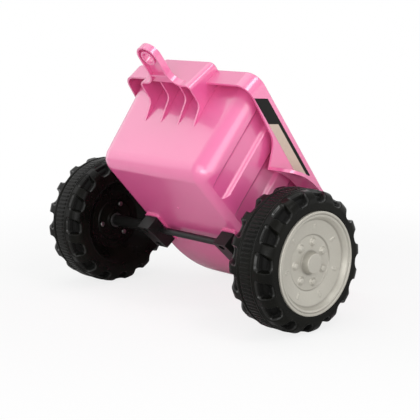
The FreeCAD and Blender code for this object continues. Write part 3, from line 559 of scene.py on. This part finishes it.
def mottled_steel(name, shades, polish):
    """Steel with a fine mottling of its plating, in its shades and above its least roughness."""
    paint = Paint(name, Metallic=1.0)
    mottle = paint.noise(scale=500.0, detail=3.0)
    return paint.set(Base_Color=paint.mix(mottle, *shades), Roughness=polish + mottle * 0.16)


def bush_plastic():
    """Dark grey bearing plastic with a soft sheen."""
    paint = Paint("bush_plastic", IOR=1.5)
    cloud = paint.noise(scale=90.0, detail=2.0)
    return paint.set(Base_Color=paint.mix(cloud, *BUSH_GREYS), Roughness=0.38 + cloud * 0.1)


def sticker_print(side):
    """Printed film: a black slanted block at the front, then a grey panel under a thin black stripe."""
    paint = Paint("sticker_print_" + side, IOR=1.5, Specular_IOR_Level=0.1)
    corner = level_to_row(STICKER_CORNER) * MM
    run = paint.along((0.0, math.cos(TILT), -math.sin(TILT)), corner)
    rise = paint.along((0.0, math.sin(TILT), math.cos(TILT)), corner)
    slanted = run - rise * (STICKER_SLANT / STICKER_HEIGHT)
    block = 1.0 - slanted.above(limit=(STICKER_SLANT + BLOCK_LENGTH) * MM, width=0.0006)
    stripe = rise.above(limit=-STRIPE_WIDTH * MM, width=0.0005)
    grain = paint.noise(scale=300.0, detail=2.0)
    panel = paint.mix(block, paint.mix(grain, *FILM_GREYS), FILM_BLACK)
    return paint.set(Base_Color=paint.mix(stripe, panel, FILM_BLACK), Roughness=0.30 + grain * 0.08)


# Tyres

def shoulder_line(distance):
    """(u, r) and outward normal at a distance from the tread's ring.

    The line is a flat crest, then a quarter round, then a flat sidewall.
    """
    flat = HALF_WIDTH - SHOULDER_R - RING_U
    turn = np.clip((distance - flat) / SHOULDER_R, 0, math.pi / 2)
    past = np.clip(distance - flat - SHOULDER_R * math.pi / 2, 0, None)
    u = RING_U + np.minimum(distance, flat) + SHOULDER_R * np.sin(turn)
    r = TREAD_R - SHOULDER_R * (1 - np.cos(turn)) - past
    return np.stack([u, r], axis=-1), np.stack([np.sin(turn), np.cos(turn)], axis=-1)


def pocket_edge(distance):
    """Angle at which a pocket starts within its pitch: early beside the ring, later to the sidewall."""
    share = np.clip((distance - POCKET_START) / (POCKET_END - POCKET_START), 0, 1)
    return POCKET_WIDE + (POCKET_NARROW - POCKET_WIDE) * share


def lug_angles(distance, share):
    """Angle within the pitch for each column, drawn together at the pocket's two side walls.

    Between two marks of the columns' share the angle goes evenly from one knot to the next.
    """
    edge = pocket_edge(distance)[:, None]
    start, far, end = (np.full_like(edge, angle) for angle in (0.0, POCKET_FAR, PITCH))
    knots = [start, edge - WALL_LIP, edge + WALL_FOOT, far - WALL_FOOT, far + WALL_LIP, end]
    spans = zip(knots, knots[1:], COLUMN_MARKS, COLUMN_MARKS[1:])
    return sum((b - a) * np.clip((share - m) / (n - m), 0, 1) for a, b, m, n in spans)


def pocket_depth(distance, angle, radius):
    """Depth below the shoulder: a round-cornered pocket, shallow on the crest and deep on the shoulder."""
    edge = pocket_edge(distance)[:, None]
    distance = distance[:, None]
    arc = np.radians(1.0) * radius[:, None]
    near_side = np.minimum((angle - edge) * arc, (POCKET_FAR - angle) * arc)
    near_end = np.minimum(distance - POCKET_START, POCKET_END - distance)
    short_side = np.clip(1 - near_side / POCKET_CORNER, 0, None)
    short_end = np.clip(1 - near_end / POCKET_CORNER, 0, None)
    inside = POCKET_CORNER * (1 - np.hypot(short_side, short_end))
    deep = LEDGE_DEPTH + (POCKET_DEPTH - LEDGE_DEPTH) * smooth((distance - LEDGE_END) / LEDGE_RAMP)
    return deep * smooth(inside / POCKET_WALL)


def shoulder_pitch(mirrored):
    """(u, r) and angle of one pitch of a shoulder, sunk along its normal by the pocket's depth.

    A mirrored pitch takes its columns from the far end, and counts its angles back from the pitch.
    """
    line, normal = shoulder_line(SHOULDER_ROWS)
    share = np.arange(COLUMNS_PER_LUG)[None, :] / COLUMNS_PER_LUG
    angle = lug_angles(SHOULDER_ROWS, 1 - share if mirrored else share)
    depth = pocket_depth(SHOULDER_ROWS, angle, line[:, 1])
    sunk = line[:, None, :] - normal[:, None, :] * depth[..., None]
    return sunk, PITCH - angle if mirrored else angle


def tyre_rows(side):
    """The u, r and angle of one pitch of the tyre.

    Its rows run from the inner bore over the far shoulder, the crown and the near shoulder to the outer
    bore, and the angle goes evenly from one shoulder's to the other's over the crown.
    """
    inner = rounded_line(INNER_SECTION, INNER_STEP)[:-1]
    crown = np.array(CROWN_SECTION)
    outer = rounded_line(OUTER_SECTION, OUTER_STEP)[1:-1]
    far, far_angle = shoulder_pitch(mirrored=side == "right")
    near, near_angle = shoulder_pitch(mirrored=side == "left")
    far = far[::-1] * np.array([-1.0, 1.0])
    far_angle = far_angle[::-1] + LUG_TURN[side]
    near_angle = near_angle + LUG_TURN[side]
    inner, crown, outer = (
        np.repeat(part[:, None, :], COLUMNS_PER_LUG, axis=1) for part in (inner, crown, outer)
    )
    section = np.concatenate([inner, far, crown, near, outer])
    blend = np.linspace(0, 1, len(crown))[:, None]
    crossing = far_angle[-1:] * (1 - blend) + near_angle[:1] * blend
    first = np.repeat(far_angle[:1], len(inner), axis=0)
    last = np.repeat(near_angle[-1:], len(outer), axis=0)
    angle = np.concatenate([first, far_angle, crossing, near_angle, last])
    return section[..., 0], section[..., 1], angle


def add_tyre(side, material):
    """Closed tyre: one pitch repeated round the axle, with a pocket in each shoulder at every lug."""
    u, r, angle = tyre_rows(side)
    turns = np.arange(LUGS) * PITCH
    angle = (angle[:, None, :] + turns[None, :, None]).reshape(len(u), -1)
    u, r = np.tile(u, (1, LUGS)), np.tile(r, (1, LUGS))
    points = wheel_to_row(side, u, r, angle)
    quads = grid_quads(*u.shape, wrap_rows=True, wrap_columns=True)
    tyre = add_piece(
        "tyre_" + side, points, quads, WHEEL_SET[side], material, TYRE_SHARP)
    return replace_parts(tyre, "wheel_" + side)


def add_tread_band(side, material):
    """Ring in the tyre's crown: a closed band whose outside rises in rounded cross ridges.

    A ridge follows the cosine of the angle times the number of ridges, and fades at the band's edges.
    """
    angle = round_turn(RIDGES * COLUMNS_PER_RIDGE)[None, :]
    u = np.array([-across for across in BAND_ROWS[:0:-1]] + BAND_ROWS)[:, None]
    fade = smooth((RIDGE_END - np.abs(u)) / RIDGE_FADE)
    wave = np.cos(np.radians(angle * RIDGES))
    r = BAND_R + fade * RIDGE_HEIGHT * smooth((wave - RIDGE_FOOT) / RIDGE_FLANK)
    r[0] = r[-1] = BAND_R - BAND_DEPTH
    points = wheel_to_row(side, u, r, angle + LUG_TURN[side])
    quads = grid_quads(*r.shape, wrap_rows=True, wrap_columns=True)
    return add_piece(
        "tread_band_" + side, points, quads, WHEEL_SET[side], material, BAND_SHARP)


# Hub caps

def nut_rise(r, angle):
    """Height of the seven wheel nuts above the cap's disc: a low collar with a domed nut on it.

    The dome falls as the root of one less the fourth power of the distance from the nut's middle.
    """
    a = np.radians(angle)
    y, z = r * np.cos(a), r * np.sin(a)
    turn = np.radians(NUT_ANGLE + round_turn(NUTS))
    away = [np.hypot(y - NUT_RING_R * np.cos(t), z - NUT_RING_R * np.sin(t)) for t in turn]
    near = np.min(away, axis=0)
    collar = COLLAR_HEIGHT * smooth((COLLAR_R - near) / COLLAR_FLANK)
    return collar + NUT_HEIGHT * np.sqrt(np.clip(1 - (near / NUT_R) ** 4, 0, 1))


def pad_rise(r, angle):
    """Height of the plain round-ended pads on the cap's dish, one beside each nut.

    A pad is all that lies within its radius of a short line that points at the axle.
    """
    turn = np.radians((angle - NUT_ANGLE - PAD_SHIFT + NUT_PITCH / 2) % NUT_PITCH - NUT_PITCH / 2)
    past_end = np.clip(np.abs(r - PAD_RING_R) - PAD_HALF_LENGTH, 0, None)
    away = np.hypot(turn * r, past_end)
    return PAD_HEIGHT * smooth((PAD_R - away) / PAD_FLANK)


def add_hub_cap(side, material):
    """Closed hub cap: a turned section with nuts and pads raised from its front."""
    front = rounded_line(CAP_FRONT, CAP_FRONT_STEP)
    back = rounded_line(CAP_BACK, CAP_BACK_STEP)
    section = np.concatenate([front, back[1:]])
    facing = np.arange(len(section)) < len(front)
    on_disc, on_dish = (
        (facing & (section[:, 1] > low) & (section[:, 1] < high))[:, None]
        for low, high in (DISC_RADII, DISH_RADII)
    )
    angle = round_turn(CAP_COLUMNS)[None, :]
    r = np.repeat(section[:, 1:], CAP_COLUMNS, axis=1)
    u = section[:, :1] + on_disc * nut_rise(r, angle) + on_dish * pad_rise(r, angle)
    points = wheel_to_row(side, u, r, angle)
    quads = grid_quads(*r.shape, wrap_columns=True)
    cap = add_piece(
        "hub_cap_face_" + side, points, quads, WHEEL_SET[side], material, CAP_SHARP)
    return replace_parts(cap, "hub_cap_" + side)


def add_gate_mark(material):
    """Small dome under the tub's floor: a half ellipsoid by its fall from the pole and its turn round it."""
    fall = np.radians(np.linspace(0, 90, GATE_ROWS))[:, None]
    turn = np.radians(round_turn(GATE_COLUMNS))[None, :]
    x = GATE_PLACE[0] + GATE_R * np.sin(fall) * np.cos(turn)
    y = GATE_PLACE[1] + GATE_R * np.sin(fall) * np.sin(turn)
    z = GATE_PLACE[2] - GATE_HEIGHT * np.cos(fall)
    dome = np.stack(np.broadcast_arrays(x, y, z), axis=-1)
    base = np.full((1, GATE_COLUMNS, 3), GATE_PLACE)
    points = level_to_row(np.concatenate([dome, base]))
    quads = grid_quads(*points.shape[:2], wrap_columns=True)
    return add_piece("gate_mark", points, quads, "trailer", material, GATE_SHARP)


# Stage

def area_lamp(name, place, wide, high, power):
    """Soft rectangular lamp at a place in metres, turned to face the middle of the trailer."""
    data = bpy.data.lights.new(name, "AREA")
    data.shape = "RECTANGLE"
    data.size = wide
    data.size_y = high
    data.energy = power
    lamp = bpy.data.objects.new(name, data)
    lamp.location = place
    lamp.rotation_euler = (Vector(LAMP_AIM) - Vector(place)).to_track_quat("-Z", "Y").to_euler()
    bpy.context.scene.collection.objects.link(lamp)


def add_floor():
    """Pale floor: a flat grid whose paint is lightened for the camera and in reflections.

    It fades to white by its distance from the origin, and keeps the trailer's shadow near it.
    """
    line = np.linspace(-FLOOR_REACH, FLOOR_REACH, FLOOR_LINES)
    x, y = np.meshgrid(line, line, indexing="ij")
    points = np.stack([x, y, np.full_like(x, -FLOOR_DROP)], axis=-1).reshape(-1, 3)
    mesh = bpy.data.meshes.new("floor")
    mesh.from_pydata(points.tolist(), [], grid_quads(FLOOR_LINES, FLOOR_LINES)[:, ::-1].tolist())
    paint = Paint("floor_paint")
    away = paint.add("ShaderNodeVectorMath", {"operation": "LENGTH"}, {0: paint.place})
    near, far = FLOOR_FADE
    fade = Value(paint, away.outputs["Value"]).above(limit=(near + far) / 2, width=far - near)
    camera, mirrored = paint.rays()
    lift = camera * (FLOOR_LIFT + fade * (1.0 - FLOOR_LIFT)) + mirrored * fade
    lit = paint.add("ShaderNodeBsdfDiffuse", {}, {"Color": FLOOR_GREY}).outputs["BSDF"]
    white = paint.add("ShaderNodeEmission", {}, {"Color": WHITE, "Strength": 1.0}).outputs["Emission"]
    both = paint.add("ShaderNodeMixShader", {}, {0: lift, 1: lit, 2: white})
    paint.put(paint.tree.nodes["Material Output"].inputs["Surface"], both.outputs["Shader"])
    paint.tree.nodes.remove(paint.shader)
    mesh.materials.append(paint.material)
    floor = bpy.data.objects.new("floor", mesh)
    bpy.context.scene.collection.objects.link(floor)


def set_world():
    """Soft even surroundings, white where the camera or a reflection sees them."""
    world = bpy.data.worlds.new("studio")
    bpy.context.scene.world = world
    world.use_nodes = True
    nodes = Nodes(world.node_tree)
    camera, mirrored = nodes.rays()
    level = {"Value": camera + mirrored, "To Min": WORLD_LEVEL, "To Max": 1.0}
    strength = nodes.add("ShaderNodeMapRange", {}, level)
    background = world.node_tree.nodes["Background"]
    nodes.put(background.inputs["Color"], WHITE)
    nodes.put(background.inputs["Strength"], strength.outputs["Result"])


def set_camera():
    """Camera looking along the fitted direction, moved sideways and up until the axle falls in its place."""
    a, e = math.radians(VIEW_AZIMUTH), math.radians(VIEW_PITCH)
    back = Vector((math.sin(a) * math.cos(e), -math.cos(a) * math.cos(e), math.sin(e)))
    right = Vector((math.cos(a), math.sin(a), 0.0))
    up = back.cross(right)
    data = bpy.data.cameras.new("camera")
    data.lens = LENS
    data.sensor_width = SENSOR
    camera = bpy.data.objects.new("camera", data)
    axle = Vector((0.0, AXLE_Y, AXLE_Z))
    place = axle + right * VIEW_RIGHT + up * VIEW_UP + back * VIEW_DISTANCE
    turn = Matrix((right, up, back)).transposed() @ Matrix.Rotation(math.radians(VIEW_ROLL), 3, "Z")
    camera.matrix_world = Matrix.Translation(place * MM) @ turn.to_4x4()
    bpy.context.scene.collection.objects.link(camera)
    bpy.context.scene.camera = camera


# The trailer

pink = pink_moulding()
clamp = clamp_plastic()
steel = mottled_steel("bright_steel", ZINC_SHADES, polish=0.24)
dark = mottled_steel("dark_steel", BLACKENED_SHADES, polish=0.28)
bush = bush_plastic()

moulded_copy("tub", "trailer", pink, edge=0.6)
moulded_copy("tow_tongue", "trailer", pink, edge=0.6)
add_gate_mark(pink)
moulded_copy("axle_rod", "trailer", axle_paint(), edge=0.4)
moulded_copy("clamp_screws", "trailer", steel, edge=0.0)
for side in SIDES:
    moulded_copy("axle_clamp_" + side, "trailer", clamp, edge=1.0)
    moulded_copy("axle_spacer_" + side, "trailer", clamp, edge=0.4)
    moulded_copy("axle_washer_" + side, "trailer", steel, edge=0.2)
    moulded_copy("axle_end_cap_" + side, "trailer", steel, edge=0.2)
    moulded_copy("hub_screws_" + side, WHEEL_SET[side], dark, edge=0.0)
    moulded_copy("inner_bush_" + side, WHEEL_SET[side], bush, edge=0.3)
    moulded_copy("outer_bush_" + side, WHEEL_SET[side], bush, edge=0.3)
    NODES["sticker_" + side].data.materials.clear()
    NODES["sticker_" + side].data.materials.append(sticker_print(side))
    tyre = tyre_plastic(side)
    add_tyre(side, tyre)
    add_tread_band(side, tyre)
    add_hub_cap(side, hub_silver(side))

add_floor()
set_world()
set_camera()
for lamp in LAMPS:
    area_lamp(*lamp)
bpy.context.scene.view_settings.view_transform = "Standard"
